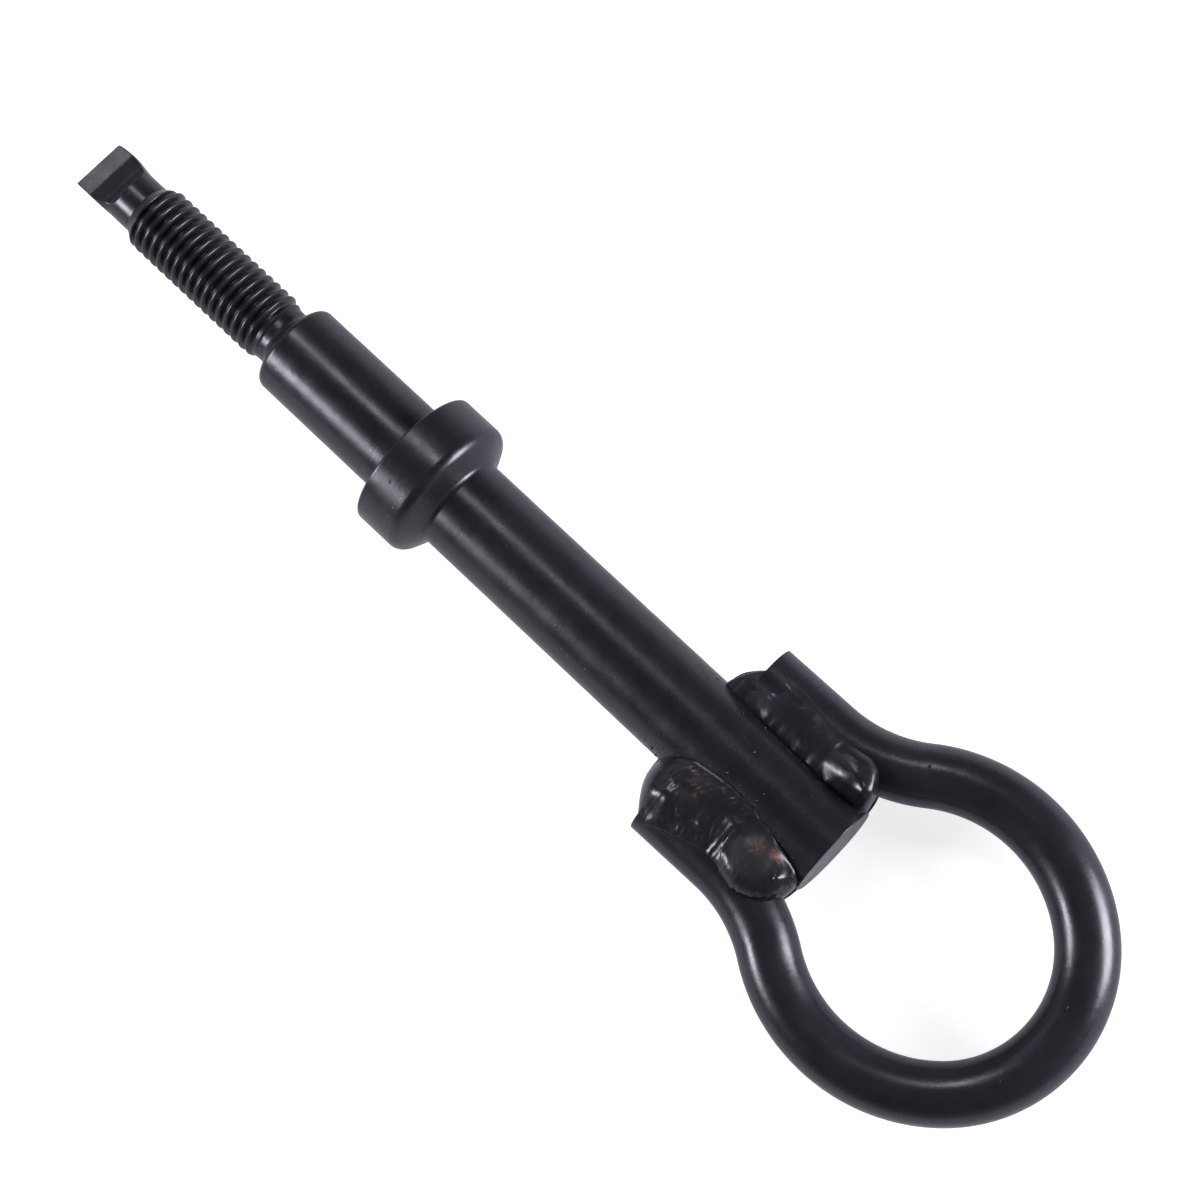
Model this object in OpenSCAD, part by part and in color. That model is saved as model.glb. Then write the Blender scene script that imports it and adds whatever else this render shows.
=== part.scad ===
// Tow eye: a turned, threaded shank with a locating collar, and an eye bent from round bar.
// The two straight legs of the eye lie along the shank's sides, and four welds hold them.
// The origin is the centre of the collar's front face. +X runs along the shank to the eye,
// the eye lies in the XY plane, and +Z is up.

/* [Shank] */
// Diameter of the shank behind the collar and of the sleeve in front of it
shank_d = 16; // [14:0.1:19]
// Length of the shank from the collar's front face to its cut end
shank_len = 91.6; // [80:0.1:130]
// Length of the sleeve in front of the collar
sleeve_len = 27.8; // [15:0.1:40]
// Radius of the rounding on the sleeve's front rim
sleeve_edge_r = 1.2; // [0.4:0.1:2]

/* [Collar] */
// Diameter of the collar
collar_d = 25; // [22:0.1:32]
// Width of the collar's rim, from the front face to where the rear edge starts to round
rim_len = 7; // [5:0.1:12]
// Bevel on the collar's front edge
collar_bevel = 0.45; // [0.2:0.05:1]
// Radius of the rounding on the collar's rear edge
collar_edge_r = 2.1; // [0.4:0.1:2.6]
// Steepness of the cone behind the rim, in degrees from the axis
collar_slope = 61; // [40:1:75]
// Radius of the fillet where the cone runs into the shank
collar_fillet_r = 1.2; // [0.6:0.1:1.8]

/* [Thread] */
// Outer diameter of the thread, over the crests
thread_d = 11.85; // [10:0.01:13.8]
// Pitch of the right-hand thread
thread_pitch = 1.75; // [1:0.05:2]
// Number of turns
thread_turns = 17.5; // [8:0.5:22]
// Diameter of the plain relief between the thread and the sleeve
relief_d = 10.3; // [10:0.1:11.5]
// Length of the relief, its fillet to the sleeve included
relief_len = 3.6; // [3:0.1:12]
// Radius of the fillet from the relief to the sleeve's front face
relief_fillet_r = 2; // [1:0.1:2.2]
// Height of the thread's ridge, from root to crest
thread_depth = 1; // [0.6:0.05:1.2]
// Axial length over which the ridge rises at the start
thread_lead = 2; // [0.5:0.1:4]
// Axial length over which the ridge runs out in front of the relief
thread_run_out = 1.8; // [0.5:0.1:4]

/* [Blade tip] */
// Diameter of the plain neck behind the blade
neck_d = 9.25; // [8:0.05:9.6]
// Length of the neck and blade in front of the thread
tip_len = 11.5; // [10:0.1:20]
// Thickness of the blade between its flats
blade_t = 3.4; // [2.5:0.1:5]
// Length of the blade's flats
blade_flat_len = 3.1; // [2:0.1:5]
// Length of the ramps behind the flats
blade_ramp_len = 2.5; // [2:0.1:4]
// Rise of each ramp
blade_ramp_rise = 0.5; // [0.3:0.1:1]
// Width of the blade at its cut end
blade_end_w = 9.3; // [7:0.1:9.5]
// Width of the blade where pressing has spread it
blade_w = 9.8; // [9.6:0.1:10.4]
// Turn of the blade about the shank's axis
blade_turn = -10; // [-45:1:45]

/* [Eye] */
// Diameter of the eye's bar
bar_d = 9.9; // [8:0.1:12]
// Length of each leg beside the shank, from the bar's end to the shank's cut end
lap_len = 25.4; // [20:0.1:32]
// Distance from the shank's cut end to the bar's centre line at the far end
eye_reach = 43.4; // [36:0.1:55]
// Centre line radius of the far bend
far_bend_r = 21.9; // [20:0.1:24]
// Half of the angle that the far bend covers
far_bend_half = 47.7; // [35:0.1:60]
// Centre line radius of the side bends
side_bend_r = 26.5; // [24:0.1:29]
// Centre line radius of the reverse bends into the legs
neck_bend_r = 27; // [22:0.1:32]
// Mean gap between the shank and the legs
leg_gap = 0.35; // [0.2:0.01:0.5]
// Share of that gap by which the eye sits over to the -Y side
eye_set = 0.7; // [0:0.1:0.7]
// Turn of the whole eye in its plane, as the hand bending left it
eye_turn = 0.9; // [0:0.1:1.1]

/* [Welds] */
// How far the welds start in front of the ends of the bar
weld_lead = 3.9; // [2:0.1:6]
// How far the welds stop short of the shank's cut end
weld_end_gap = 0.3; // [0.3:0.1:3]
// Distance from the axis to the edge of a weld on the shank
weld_in_y = 4.4; // [3.5:0.1:6]
// Width of the bare strip of each leg outside its weld
bare_strip = 2.6; // [1.5:0.1:4]
// Rise of the welds above the line from edge to edge
weld_crown = 1.2; // [0.4:0.1:2]
// Height of the ripples on the welds
ripple_h = 0.18; // [0:0.02:0.4]
// Distance between the ripples
ripple_pitch = 2.4; // [1.6:0.1:4]

/* [Hidden] */
$fn = 96;
paint = [0.035, 0.035, 0.042];
weld_paint = [0.06, 0.06, 0.07];
shank_r = shank_d / 2;
collar_r = collar_d / 2;
thread_r = thread_d / 2;
relief_r = relief_d / 2;
neck_r = neck_d / 2;
bar_r = bar_d / 2;
overlap = 0.5;
mark_len = 0.4;
mark_h = 0.03;

// Axial stations in front of the sleeve
thread_len = thread_turns * thread_pitch;
thread_end_x = -sleeve_len - relief_len;
thread_start_x = thread_end_x - thread_len;
root_r = thread_r - thread_depth;
tip_x = thread_start_x - tip_len;
blade_scoop_r = neck_r - blade_t / 2 - blade_ramp_rise;
blade_end_x = tip_x + blade_flat_len + blade_ramp_len + blade_scoop_r;
blade_swell_x = tip_x + blade_flat_len;

// The thread's ridge: crest width, 60 degree flanks, and how far it sinks into the core
crest_w = thread_pitch / 6;
ridge_w = crest_w + 2 * thread_depth * tan(30);
ridge_sink = 0.2;
ridge_steps = 24;
ridge_x0 = thread_start_x + thread_pitch / 2;
ridge_x1 = thread_end_x + thread_pitch / 2;

// Rear side of the collar: rounded edge, cone and fillet
collar_drop = collar_r - collar_edge_r - shank_r - collar_fillet_r;
fillet_x = rim_len + (collar_drop * cos(collar_slope) + collar_edge_r + collar_fillet_r) / sin(collar_slope);

// Centres and angles of the eye's tangent bends, on the +Y side
bar_end_x = shank_len - lap_len;
eye_far_x = shank_len + eye_reach;
leg_y = shank_r + leg_gap + bar_r;
far_cx = eye_far_x - far_bend_r;
side_cx = far_cx + (far_bend_r - side_bend_r) * cos(far_bend_half);
side_cy = (far_bend_r - side_bend_r) * sin(far_bend_half);
neck_angle = acos((leg_y + neck_bend_r - side_cy) / (side_bend_r + neck_bend_r));
neck_cx = side_cx - (side_bend_r + neck_bend_r) * sin(neck_angle);
neck_cy = leg_y + neck_bend_r;

// Stations and grid of a weld
weld_x0 = bar_end_x - weld_lead;
weld_x1 = shank_len - weld_end_gap;
weld_wrap = weld_lead + 1.1;
weld_fade = 3.5;
weld_floor = 0.15;
weld_sink = 0.3;
weld_steps = 36;
weld_arc_steps = 8;

// Points on a round stretch of an outline, from angle a0 to angle a1
function arc_points(cx, cy, r, a0, a1, steps) =
    [for (i = [0:steps]) let (a = a0 + (a1 - a0) * i / steps) [cx + r * cos(a), cy + r * sin(a)]];

function mix(a, b, t) = a + (b - a) * t;
function clamp01(t) = min(1, max(0, t));

// Half outline of the shank, as axial place and radius. Pressing has spread the blade's blank.
function shank_outline() = concat(
    [[tip_x, 0], [tip_x, blade_end_w / 2]],
    [for (i = [1:4]) [mix(tip_x, blade_swell_x, i / 4), mix(blade_end_w, blade_w, sin(90 * i / 4)) / 2]],
    [for (i = [1:4]) [mix(blade_swell_x, blade_end_x + overlap, i / 4),
                      mix(neck_d, blade_w, pow(cos(90 * i / 4), 2)) / 2]],
    [[thread_start_x, neck_r], [thread_start_x + root_r - neck_r, root_r]],
    [[thread_end_x - relief_r + root_r, root_r], [thread_end_x, relief_r]],
    arc_points(-sleeve_len - relief_fillet_r, relief_r + relief_fillet_r, relief_fillet_r, 270, 360, 6),
    arc_points(-sleeve_len + sleeve_edge_r, shank_r - sleeve_edge_r, sleeve_edge_r, 180, 90, 5),
    [[0, shank_r], [0, collar_r - collar_bevel], [collar_bevel, collar_r]],
    arc_points(rim_len, collar_r - collar_edge_r, collar_edge_r, 90, 90 - collar_slope, 6),
    arc_points(fillet_x, shank_r + collar_fillet_r, collar_fillet_r, 270 - collar_slope, 270, 5),
    [[shank_len, shank_r], [shank_len, 0]]
);

// Side view of what milling takes off one side of the blade: flat, ramp and scooped end
function blade_cut() = concat(
    [[tip_x - overlap, blade_t / 2], [tip_x + blade_flat_len, blade_t / 2]],
    arc_points(tip_x + blade_flat_len + blade_ramp_len, blade_t / 2 + blade_ramp_rise + blade_scoop_r,
               blade_scoop_r, 270, 360, 6),
    [[blade_end_x, blade_w], [tip_x - overlap, blade_w]]
);

module turned(points) {
    rotate([90, 0, 90]) rotate_extrude() polygon([for (p = points) [p[1], p[0]]]);
}

// What milling takes off both sides of the blade
module blade_cuts() {
    rotate([blade_turn, 0, 0]) for (side = [0, 1]) mirror([0, 0, side])
        rotate([90, 0, 0]) translate([0, 0, -blade_w]) linear_extrude(2 * blade_w) polygon(blade_cut());
}

// How far the ridge has risen above the core at a place along the thread, from 0 to 1
function ridge_rise(x) = clamp01(min((x - ridge_x0) / thread_lead, (ridge_x1 - x) / thread_run_out));

// Cross section of the ridge at one step of its winding: foot, crest and foot
function ridge_section(i, last) =
    let (x = mix(ridge_x0, ridge_x1, i / last), a = 360 * (x - ridge_x0) / thread_pitch,
         foot_r = root_r - ridge_sink, top_r = mix(foot_r + ridge_sink / 2, thread_r, ridge_rise(x)),
         top_w = crest_w + 2 * (thread_r - max(top_r, root_r)) * tan(30))
    [for (p = [[-ridge_w, foot_r], [-top_w, top_r], [top_w, top_r], [ridge_w, foot_r]])
        [x + p[0] / 2, p[1] * cos(a), p[1] * sin(a)]];

// The right-hand ridge of the thread, wound round the core
module thread_ridge() {
    last = round((ridge_x1 - ridge_x0) / thread_pitch * ridge_steps);
    sides = [for (i = [0:last - 1], j = [0:3]) let (a = 4 * i, b = a + 4, k = (j + 1) % 4)
        each [[a + j, a + k, b + j], [a + k, b + k, b + j]]];
    polyhedron([for (i = [0:last]) each ridge_section(i, last)],
               concat([[3, 2, 1, 0]], sides, [[for (j = [0:3]) 4 * last + j]]));
}

module threaded_shank() {
    color(paint) difference() {
        union() {
            turned(shank_outline());
            thread_ridge();
        }
        blade_cuts();
    }
}

// One bend of the eye's bar, from angle a0 to a1 about a centre in the XY plane.
// It stops a hair short at both ends, where a bend mark joins it to the next bend.
module bar_bend(cx, cy, r, a0, a1) {
    trim = mark_len / 6 / r * 180 / PI;
    translate([cx, cy, 0]) rotate([0, 0, a0 + trim]) rotate_extrude(angle = a1 - a0 - 2 * trim)
        translate([r, 0]) circle(r = bar_r, $fn = 64);
}

// The faint ring that the bending tool leaves on the bar, where one bend runs into the next
module bend_mark(cx, cy, r, a) {
    translate([cx + r * cos(a), cy + r * sin(a), 0]) rotate([90, 0, a])
        cylinder(r = bar_r + mark_h, h = mark_len, center = true, $fn = 64);
}

module eye_side() {
    bend_mark(side_cx, side_cy, side_bend_r, far_bend_half);
    bar_bend(side_cx, side_cy, side_bend_r, far_bend_half, 90 + neck_angle);
    bend_mark(side_cx, side_cy, side_bend_r, 90 + neck_angle);
    bar_bend(neck_cx, neck_cy, neck_bend_r, 270, 270 + neck_angle);
    bend_mark(neck_cx, neck_cy, neck_bend_r, 270);
    translate([bar_end_x, leg_y, 0]) rotate([0, 90, 0]) cylinder(r = bar_r, h = neck_cx - mark_len / 6 - bar_end_x, $fn = 64);
}

module eye_loop() {
    color(paint) translate([bar_end_x, -eye_set * leg_gap, 0]) rotate([0, 0, eye_turn]) translate([-bar_end_x, 0, 0]) {
        bar_bend(far_cx, 0, far_bend_r, -far_bend_half, far_bend_half);
        eye_side();
        mirror([0, 1, 0]) eye_side();
    }
}

// Distance from the axis to the bar's centre line beside the shank
function bar_y(x) = x < neck_cx ? leg_y : neck_cy - sqrt(neck_bend_r * neck_bend_r - pow(x - neck_cx, 2));

// How far a weld has grown around the bar's end, and how far it has faded at its own end
function weld_grow(x) = pow(clamp01((x - weld_x0) / weld_wrap), 0.6);
function weld_stay(x) = mix(0.55, 1, pow(clamp01((weld_x1 - x) / weld_fade), 0.5));

// One cross section of a weld: core points inside shank and bar, and a rippled crown between
function weld_section(x) =
    let (grow = weld_grow(x), stay = weld_stay(x), lift = mix(0.45, 1, grow) * stay,
         strip_h = sqrt(bar_r * bar_r - pow(bar_r - bare_strip, 2)),
         in_z = sqrt(shank_r * shank_r - weld_in_y * weld_in_y),
         in_y = mix(shank_r - 1, weld_in_y, min(1, 1.4 * grow)),
         start_z = min(sqrt(shank_r * shank_r - in_y * in_y), in_z),
         out_y = mix(shank_r + 0.4, bar_y(x) + bar_r - bare_strip, grow),
         core_y = x < bar_end_x ? out_y - 0.2 : bar_y(x))
    concat(
        [[x, core_y, weld_floor], [x, shank_r / 2, weld_floor]],
        [for (i = [0:weld_arc_steps]) let (k = i / weld_arc_steps, swell = sin(180 * k),
            bow = 1.6 * (1 - pow(2 * k - 1, 2)),
            ripple = ripple_h * swell * sin(360 * (x + bow) / ripple_pitch),
            base = mix(start_z, strip_h * lift, k) - weld_sink * (1 - swell))
            [x, mix(in_y, out_y, k), base + weld_crown * lift * pow(swell, 0.8) + ripple]]
    );

module weld_bead() {
    rings = [for (i = [0:weld_steps]) weld_section(mix(weld_x0, weld_x1, i / weld_steps))];
    n = len(rings[0]);
    sides = [for (i = [0:weld_steps - 1], j = [0:n - 1]) let (a = i * n, b = (i + 1) * n, k = (j + 1) % n)
        each [[a + j, a + k, b + j], [a + k, b + k, b + j]]];
    polyhedron([for (r = rings) each r],
               concat([[for (j = [n - 1:-1:0]) j]], sides, [[for (j = [0:n - 1]) weld_steps * n + j]]));
}

// A weld fills the valley between shank and leg, and meets both face to face
module weld(left, top) {
    color(weld_paint) difference() {
        mirror([0, left ? 0 : 1, 0]) mirror([0, 0, top ? 0 : 1]) weld_bead();
        turned([[0, 0], [0, shank_r], [shank_len, shank_r], [shank_len, 0]]);
        eye_loop();
    }
}

module weld_top_left() { weld(true, true); }
module weld_top_right() { weld(false, true); }
module weld_under_left() { weld(true, false); }
module weld_under_right() { weld(false, false); }

threaded_shank();
eye_loop();
weld_top_left();
weld_top_right();
weld_under_left();
weld_under_right();
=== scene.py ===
import math

import bpy
import numpy as np
from mathutils import Matrix, Vector, noise


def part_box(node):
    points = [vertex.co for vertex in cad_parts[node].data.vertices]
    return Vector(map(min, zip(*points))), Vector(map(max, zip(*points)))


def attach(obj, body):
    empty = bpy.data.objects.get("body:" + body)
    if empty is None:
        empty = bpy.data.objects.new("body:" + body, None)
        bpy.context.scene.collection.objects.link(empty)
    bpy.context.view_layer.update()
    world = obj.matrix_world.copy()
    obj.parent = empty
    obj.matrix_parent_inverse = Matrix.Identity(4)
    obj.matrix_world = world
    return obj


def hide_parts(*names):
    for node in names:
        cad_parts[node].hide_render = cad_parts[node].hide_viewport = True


# The tow eye's finish: turned shank, bent eye and welds under semi-gloss black paint.
# Lengths are metres in the part's own frame: +X along the shank to the eye, +Z up.

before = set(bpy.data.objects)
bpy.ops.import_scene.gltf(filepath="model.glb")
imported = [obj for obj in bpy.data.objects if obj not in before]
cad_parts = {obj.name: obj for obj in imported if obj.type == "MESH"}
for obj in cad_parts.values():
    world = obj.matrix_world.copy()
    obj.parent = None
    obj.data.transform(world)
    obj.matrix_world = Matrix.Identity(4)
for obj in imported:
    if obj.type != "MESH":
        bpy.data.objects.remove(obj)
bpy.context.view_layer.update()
MM = 0.001

# Sizes read from the frame
shank_low, shank_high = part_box("threaded_shank")
eye_low, eye_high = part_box("eye_loop")
TIP_X = shank_low.x
SHANK_END_X = shank_high.x
COLLAR_R = shank_high.z
BAR_END_X = eye_low.x
BAR_R = eye_high.z

# Sizes of the turned shank, as in the part's source
SHANK_R = 8.0 * MM
SLEEVE_LEN = 27.8 * MM
SLEEVE_EDGE_R = 1.2 * MM
RIM_LEN = 7.0 * MM
COLLAR_BEVEL = 0.45 * MM
COLLAR_EDGE_R = 2.1 * MM
COLLAR_SLOPE = math.radians(61)
COLLAR_FILLET_R = 1.2 * MM
RELIEF_R = 5.15 * MM
RELIEF_LEN = 3.6 * MM
RELIEF_FILLET_R = 2.0 * MM
THREAD_R = 5.925 * MM
THREAD_PITCH = 1.75 * MM
THREAD_TURNS = 17.5
THREAD_DEPTH = 1.0 * MM
THREAD_LEAD = 2.0 * MM
THREAD_RUN_OUT = 1.8 * MM
NECK_R = 4.625 * MM
BLADE_T = 3.4 * MM
BLADE_FLAT_LEN = 3.1 * MM
BLADE_RAMP_LEN = 2.5 * MM
BLADE_RAMP_RISE = 0.5 * MM
BLADE_END_W = 9.3 * MM
BLADE_W = 9.8 * MM
BLADE_TURN = math.radians(-10)
BLADE_SET = 0.2 * MM
THREAD_END_X = -SLEEVE_LEN - RELIEF_LEN
THREAD_START_X = THREAD_END_X - THREAD_TURNS * THREAD_PITCH
SCOOP_R = NECK_R - BLADE_T / 2 - BLADE_RAMP_RISE
SCOOP_X = TIP_X + BLADE_FLAT_LEN + BLADE_RAMP_LEN
BLADE_END_X = SCOOP_X + SCOOP_R
SWELL_X = TIP_X + BLADE_FLAT_LEN

# Sizes of the bent eye, as in the part's source
EYE_FAR_X = SHANK_END_X + 43.4 * MM
FAR_BEND_R = 21.9 * MM
FAR_BEND_HALF = math.radians(47.7)
SIDE_BEND_R = 26.5 * MM
NECK_BEND_R = 27.0 * MM
LEG_GAP = 0.35 * MM
EYE_SET = 0.7 * LEG_GAP
EYE_TURN = math.radians(0.9)
LEG_Y = SHANK_R + LEG_GAP + BAR_R

# Length of the welds, as in the part's source, and their floor, just short of the weld below
WELD_START_X = BAR_END_X - 3.9 * MM
WELD_END_X = SHANK_END_X - 0.3 * MM
WELD_FLOOR = 0.02 * MM


def mix(a, b, t):
    return a + (b - a) * t


def smooth(t):
    t = np.clip(t, 0, 1)
    return t * t * (3 - 2 * t)


def finish_piece(mesh, name, material, replaced=()):
    """Links a finished mesh as a piece of the part, riding on its one body."""
    piece = bpy.data.objects.new(name, mesh)
    bpy.context.scene.collection.objects.link(piece)
    mesh.materials.clear()
    mesh.materials.append(material)
    mesh.polygons.foreach_set("use_smooth", [True] * len(mesh.polygons))
    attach(piece, "root")
    if replaced:
        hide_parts(*replaced)
    return piece


def grid_faces(rows, cols, closed=True, offset=0):
    """Quads between rows of points, each row running once round."""
    faces = []
    for i in range(rows - 1):
        for j in range(cols if closed else cols - 1):
            k = (j + 1) % cols
            a = offset + i * cols
            b = a + cols
            faces.append((a + j, a + k, b + k, b + j))
    return faces


# Materials

def new_material(name):
    material = bpy.data.materials.new(name)
    material.use_nodes = True
    nodes = material.node_tree.nodes
    nodes.clear()
    out = nodes.new("ShaderNodeOutputMaterial")
    shader = nodes.new("ShaderNodeBsdfPrincipled")
    material.node_tree.links.new(shader.outputs["BSDF"], out.inputs["Surface"])
    return material, material.node_tree, shader


def noise_node(tree, scale, detail=3.0, roughness=0.55, seed_shift=0.0):
    """A noise texture on the piece's own coordinates."""
    coords = tree.nodes.new("ShaderNodeTexCoord")
    mapping = tree.nodes.new("ShaderNodeMapping")
    mapping.inputs["Location"].default_value = (seed_shift, seed_shift * 0.7, seed_shift * 0.3)
    texture = tree.nodes.new("ShaderNodeTexNoise")
    texture.inputs["Scale"].default_value = scale
    texture.inputs["Detail"].default_value = detail
    texture.inputs["Roughness"].default_value = roughness
    tree.links.new(coords.outputs["Object"], mapping.inputs["Vector"])
    tree.links.new(mapping.outputs["Vector"], texture.inputs["Vector"])
    return texture.outputs["Fac"]


def ramp(tree, value, low, high, out_low, out_high):
    node = tree.nodes.new("ShaderNodeMapRange")
    node.inputs["From Min"].default_value = low
    node.inputs["From Max"].default_value = high
    node.inputs["To Min"].default_value = out_low
    node.inputs["To Max"].default_value = out_high
    tree.links.new(value, node.inputs["Value"])
    return node.outputs["Result"]


def mix_color(tree, factor, color_a, color_b):
    node = tree.nodes.new("ShaderNodeMix")
    node.data_type = "RGBA"
    for socket, value in (("A", color_a), ("B", color_b)):
        target = [s for s in node.inputs if s.name == socket and s.type == "RGBA"][0]
        if isinstance(value, tuple):
            target.default_value = (*value, 1)
        else:
            tree.links.new(value, target)
    tree.links.new(factor, node.inputs["Factor"])
    return [s for s in node.outputs if s.type == "RGBA"][0]


def bump(tree, height, distance, strength, below=None):
    node = tree.nodes.new("ShaderNodeBump")
    node.inputs["Distance"].default_value = distance
    node.inputs["Strength"].default_value = strength
    tree.links.new(height, node.inputs["Height"])
    if below is not None:
        tree.links.new(below, node.inputs["Normal"])
    return node.outputs["Normal"]


def calc(tree, operation, *values):
    """One sum on the values of a material's nodes."""
    node = tree.nodes.new("ShaderNodeMath")
    node.operation = operation
    for socket, value in zip(node.inputs, values):
        if isinstance(value, bpy.types.NodeSocket):
            tree.links.new(value, socket)
        else:
            socket.default_value = value
    return node.outputs[0]


def zone(tree, low, high, soft):
    """1 inside a box of the piece's own coordinates, in mm, fading to 0 over a margin."""
    coords = tree.nodes.new("ShaderNodeTexCoord")
    place = tree.nodes.new("ShaderNodeSeparateXYZ")
    tree.links.new(coords.outputs["Object"], place.inputs[0])
    inside = None
    for axis in range(3):
        a, b = low[axis] * MM, high[axis] * MM
        rise = ramp(tree, place.outputs[axis], a - soft * MM, a, 0, 1)
        fall = ramp(tree, place.outputs[axis], b, b + soft * MM, 1, 0)
        both = calc(tree, "MULTIPLY", rise, fall)
        inside = both if inside is None else calc(tree, "MULTIPLY", inside, both)
    return inside


def spot(tree, centre, reach, core=0.35):
    """1 round a point of the piece, in mm, fading to 0 at a distance."""
    coords = tree.nodes.new("ShaderNodeTexCoord")
    node = tree.nodes.new("ShaderNodeVectorMath")
    node.operation = "DISTANCE"
    tree.links.new(coords.outputs["Object"], node.inputs[0])
    node.inputs[1].default_value = [c * MM for c in centre]
    return ramp(tree, node.outputs["Value"], reach * core * MM, reach * MM, 1, 0)


def strongest(tree, values):
    result = values[0]
    for value in values[1:]:
        result = calc(tree, "MAXIMUM", result, value)
    return result


def pits(tree, rough_zone):
    """Height of small pits and nibs in the paint, sparse at large and crowded in a rough zone."""
    coords = tree.nodes.new("ShaderNodeTexCoord")
    cells = tree.nodes.new("ShaderNodeTexVoronoi")
    cells.inputs["Scale"].default_value = 820
    tree.links.new(coords.outputs["Object"], cells.inputs["Vector"])
    chance = tree.nodes.new("ShaderNodeSeparateColor")
    tree.links.new(cells.outputs["Color"], chance.inputs[0])
    crowd = chance.outputs[0]
    if rough_zone is not None:
        crowd = calc(tree, "MULTIPLY_ADD", rough_zone, 0.45, crowd)
    chosen = ramp(tree, crowd, 0.970, 0.975, 0, 1)
    size = ramp(tree, chance.outputs[1], 0, 1, 0.10, 0.24)
    hole = calc(tree, "SUBTRACT", 1.0, calc(tree, "DIVIDE", cells.outputs["Distance"], size))
    hole = calc(tree, "MULTIPLY", calc(tree, "MAXIMUM", hole, 0.0), chosen)
    # Most are pits; one in four is a nib of dust under the paint
    sign = ramp(tree, chance.outputs[2], 0.74, 0.76, -1, 1)
    return calc(tree, "MULTIPLY", hole, sign)


def turning_marks(tree):
    """Fine rings that the lathe left round the shank, stretched round its axis."""
    coords = tree.nodes.new("ShaderNodeTexCoord")
    mapping = tree.nodes.new("ShaderNodeMapping")
    mapping.inputs["Scale"].default_value = (1.0, 0.16, 0.16)
    texture = tree.nodes.new("ShaderNodeTexNoise")
    texture.inputs["Scale"].default_value = 3400
    texture.inputs["Detail"].default_value = 2
    tree.links.new(coords.outputs["Object"], mapping.inputs["Vector"])
    tree.links.new(mapping.outputs["Vector"], texture.inputs["Vector"])
    return texture.outputs["Fac"]


def black_paint(name, rough_low, rough_high, peel, rough_zone=None, turned=False, painted_light_gain=1.0):
    """Semi-gloss black paint: faint clouding, orange peel, fine grain and small pits, with its colour
    lightened by a factor that paints in light.
    """
    material, tree, shader = new_material(name)
    cloud = noise_node(tree, 90, 4)
    # The base colour is scaled by a per-piece factor: painted light, a lighter copy of the same black paint
    # where a piece should look more lit
    dark = tuple(c * painted_light_gain for c in (0.0062, 0.0060, 0.0080))
    light = tuple(c * painted_light_gain for c in (0.0098, 0.0094, 0.0126))
    color = mix_color(tree, ramp(tree, cloud, 0.35, 0.65, 0, 1), dark, light)
    smear = noise_node(tree, 260, 3, seed_shift=0.31)
    roughness = ramp(tree, smear, 0.3, 0.7, rough_low, rough_high)
    normal = bump(tree, noise_node(tree, 620, 2, seed_shift=0.11), 0.00006, peel)
    normal = bump(tree, noise_node(tree, 4200, 2, seed_shift=0.23), 0.000012, 0.5, normal)
    if turned:
        normal = bump(tree, turning_marks(tree), 0.000014, 0.6, normal)
    holes = pits(tree, rough_zone(tree) if rough_zone else None)
    normal = bump(tree, holes, 0.00009, 1.0, normal)
    tree.links.new(color, shader.inputs["Base Color"])
    tree.links.new(roughness, shader.inputs["Roughness"])
    tree.links.new(normal, shader.inputs["Normal"])
    shader.inputs["IOR"].default_value = 1.5
    shader.inputs["Specular Tint"].default_value = (0.93, 0.93, 1.0, 1)
    return material, tree, shader, color, roughness


def shank_rough_zone(tree):
    """Where the shank's paint is pitted: a band along the bare shank and a patch on the collar."""
    band = zone(tree, (27, -5.9, 2), (50, -3.3, 9), 2.0)
    patch = zone(tree, (1.5, -7.0, 5), (6.0, -3.8, 13), 0.8)
    return strongest(tree, [band, patch])


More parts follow.
